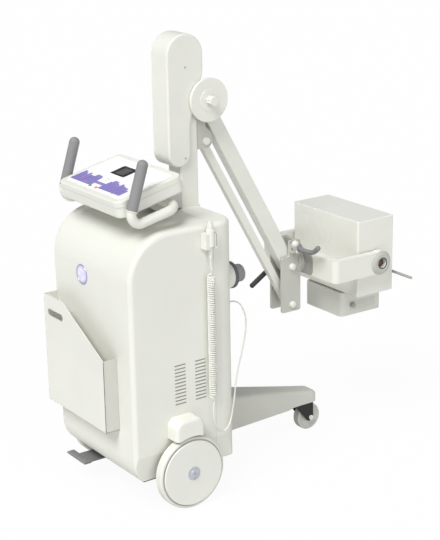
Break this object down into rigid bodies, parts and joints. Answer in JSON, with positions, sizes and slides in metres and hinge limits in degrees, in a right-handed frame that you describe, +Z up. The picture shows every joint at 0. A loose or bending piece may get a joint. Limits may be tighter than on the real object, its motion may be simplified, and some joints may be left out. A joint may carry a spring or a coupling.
{
  "type": "mobile radiography unit",
  "caption": "Wheeled cabinet with a steering handlebar, control panel, cassette bin and a column with a parallel-link arm that holds a tube head and collimator in a yoke.",
  "frame": {"origin": "on the floor under the middle of the whole unit, cords left out", "axes": "+X to the right of the operator who stands behind the handlebar, +Y forwards towards the tube head, +Z up"},
  "size_m": [0.606, 1.21, 1.518],
  "materials": {
    "casing": "satin moulded casing",
    "cover_cream": "satin moulded casing",
    "bin_cream": "thin painted sheet",
    "frame_white": "smooth enamel",
    "bracket_grey": "smooth enamel",
    "leg_grey": "smooth enamel",
    "steel": "zinc plated",
    "chassis": "black enamel",
    "tyre_grey": "pale grey rubber",
    "wheel_cream": "moulded disc",
    "cap_grey": "moulded cap",
    "caster_black": "black enamel",
    "grip_grey": "matt grips",
    "knob_grey": "satin knob",
    "lever_dark": "black lever",
    "pedal_grey": "dark enamel",
    "keypad": "printed film",
    "screen": "dark window",
    "button_green": "small key",
    "button_orange": "small key",
    "board": "circuit board",
    "cord_grey": "pale jacket",
    "hand_white": "satin handset",
    "lead_grey": "lead leaves",
    "glass_tube": "clear glass",
    "window_clear": "clear plate",
    "tank": "oil tank",
    "cells": "cell blocks in a black case"
  },
  "bodies": {
    "unit": {"cabinet_shell": "casing", "forward_cover": "cover_cream", "chassis_tray": "chassis", "front_leg": "leg_grey", "rear_axle": "steel", "axle_blocks": "chassis", "wheel_fenders": "cover_cream", "column": "frame_white", "pivot_bracket": "bracket_grey", "pivot_pins": "steel", "spring_housing": "frame_white", "spring_cartridge": "steel", "pivot_disc": "cover_cream", "console_base": "cover_cream", "console_cover": "cover_cream", "keypad_membrane": "keypad", "display_window": "screen", "console_board": "board", "console_bracket": "bracket_grey", "handle_bar": "frame_white", "hand_grips": "grip_grey", "cassette_bin": "bin_cream", "switch_holder": "hand_white", "coil_cord": "cord_grey", "lead_cord": "cord_grey", "cord_gland": "cord_grey", "battery_pack": "cells", "generator_box": "tank"},
    "wheel_r": {"wheel_right": "wheel_cream", "tyre_right": "tyre_grey", "hub_cap_right": "cap_grey"},
    "wheel_l": {"wheel_left": "wheel_cream", "tyre_left": "tyre_grey", "hub_cap_left": "cap_grey"},
    "caster_swivel_body": {"caster_fork": "caster_black", "caster_bolt": "steel"},
    "caster_roll_body": {"caster_wheel": "tyre_grey"},
    "arm": {"arm_beam": "frame_white"},
    "tie_link": {"tie_rod": "frame_white"},
    "fork": {"fork_bracket": "bracket_grey", "fork_bolts": "steel"},
    "arm_lock": {"lock_knob": "frame_white"},
    "lift_handle": {"lift_lever": "lever_dark"},
    "swivel_handle": {"swivel_lever": "grip_grey"},
    "yoke_body": {"yoke": "frame_white"},
    "head": {"head_housing": "frame_white", "head_lid": "frame_white", "tube_insert": "glass_tube", "head_handle": "bracket_grey"},
    "collimator": {"collimator_body": "frame_white", "beam_window": "window_clear", "collimator_blades": "lead_grey"},
    "field_dial": {"field_knob": "grip_grey"},
    "handswitch": {"handswitch_body": "hand_white", "switch_relief": "cord_grey"},
    "fire_key": {"exposure_button": "hand_white"},
    "key_on": {"on_button": "button_green"},
    "key_off": {"off_button": "button_orange"},
    "latch": {"latch_knob": "knob_grey"},
    "pedal": {"brake_pedal": "pedal_grey"}
  },
  "joints": [
    {"name": "wheel_right_turn", "type": "hinge", "parent": "unit", "child": "wheel_r", "pos_m": [0, -0.364, 0.125], "axis": [1, 0, 0], "continuous": true},
    {"name": "wheel_left_turn", "type": "hinge", "parent": "unit", "child": "wheel_l", "pos_m": [0, -0.364, 0.125], "axis": [1, 0, 0], "continuous": true},
    {"name": "caster_swivel", "type": "hinge", "parent": "unit", "child": "caster_swivel_body", "pos_m": [0, 0.304, 0], "axis": [0, 0, 1], "continuous": true},
    {"name": "caster_roll", "type": "hinge", "parent": "caster_swivel_body", "child": "caster_roll_body", "pos_m": [0, 0.336, 0.05], "axis": [1, 0, 0], "continuous": true},
    {"name": "arm_lift", "type": "hinge", "parent": "unit", "child": "arm", "pos_m": [0, -0.112, 1.295], "axis": [1, 0, 0], "range_deg": [-10, 85]},
    {"name": "tie_rod_turn", "type": "hinge", "parent": "unit", "child": "tie_link", "pos_m": [0, -0.112, 1.155], "axis": [1, 0, 0], "range_deg": [-10, 85]},
    {"name": "fork_level", "type": "hinge", "parent": "arm", "child": "fork", "pos_m": [0, 0.24482, 0.65128], "axis": [1, 0, 0], "range_deg": [-85, 10]},
    {"name": "arm_lock_turn", "type": "hinge", "parent": "unit", "child": "arm_lock", "pos_m": [0, -0.112, 1.295], "axis": [1, 0, 0], "range_deg": [-90, 90]},
    {"name": "lift_lever_turn", "type": "hinge", "parent": "fork", "child": "lift_handle", "pos_m": [0, 0.24482, 0.65128], "axis": [1, 0, 0], "range_deg": [-25, 25]},
    {"name": "swivel_lever_turn", "type": "hinge", "parent": "fork", "child": "swivel_handle", "pos_m": [0.052, 0.258, 0.722], "axis": [0, 1, 0], "range_deg": [-30, 30]},
    {"name": "yoke_roll", "type": "hinge", "parent": "fork", "child": "yoke_body", "pos_m": [0, 0.336, 0.66], "axis": [0, 1, 0], "range_deg": [-90, 90]},
    {"name": "head_tilt", "type": "hinge", "parent": "yoke_body", "child": "head", "pos_m": [0, 0.503, 0.66], "axis": [1, 0, 0], "range_deg": [-30, 90]},
    {"name": "collimator_turn", "type": "hinge", "parent": "head", "child": "collimator", "pos_m": [0, 0.5065, 0.49], "axis": [0, 0, 1], "range_deg": [-90, 90]},
    {"name": "field_dial_turn", "type": "hinge", "parent": "collimator", "child": "field_dial", "pos_m": [0.111, 0.462, 0.484], "axis": [1, 0, 0], "range_deg": [-150, 150]},
    {"name": "handswitch_lift", "type": "slide", "parent": "unit", "child": "handswitch", "axis": [0, 0, 1], "range_m": [0, 0.06]},
    {"name": "exposure_press", "type": "slide", "parent": "handswitch", "child": "fire_key", "axis": [0, 0, -1], "range_m": [0, 0.004], "stiffness_N_per_m": 500, "springref_m": -0.001},
    {"name": "on_key_press", "type": "slide", "parent": "unit", "child": "key_on", "axis": [0, 0.225, -0.9744], "range_m": [0, 0.001], "stiffness_N_per_m": 500, "springref_m": -0.001},
    {"name": "off_key_press", "type": "slide", "parent": "unit", "child": "key_off", "axis": [0, 0.225, -0.9744], "range_m": [0, 0.001], "stiffness_N_per_m": 500, "springref_m": -0.001},
    {"name": "latch_turn", "type": "hinge", "parent": "unit", "child": "latch", "pos_m": [0.15, -0.138, 0.72], "axis": [0, 1, 0], "range_deg": [0, 90]},
    {"name": "pedal_press", "type": "hinge", "parent": "unit", "child": "pedal", "pos_m": [0, -0.456, 0.09], "axis": [1, 0, 0], "range_deg": [0, 12]}
  ],
  "couplings": [
    {"joint": "tie_rod_turn", "follows": "arm_lift", "ratio": 1},
    {"joint": "fork_level", "follows": "arm_lift", "ratio": -1}
  ]
}
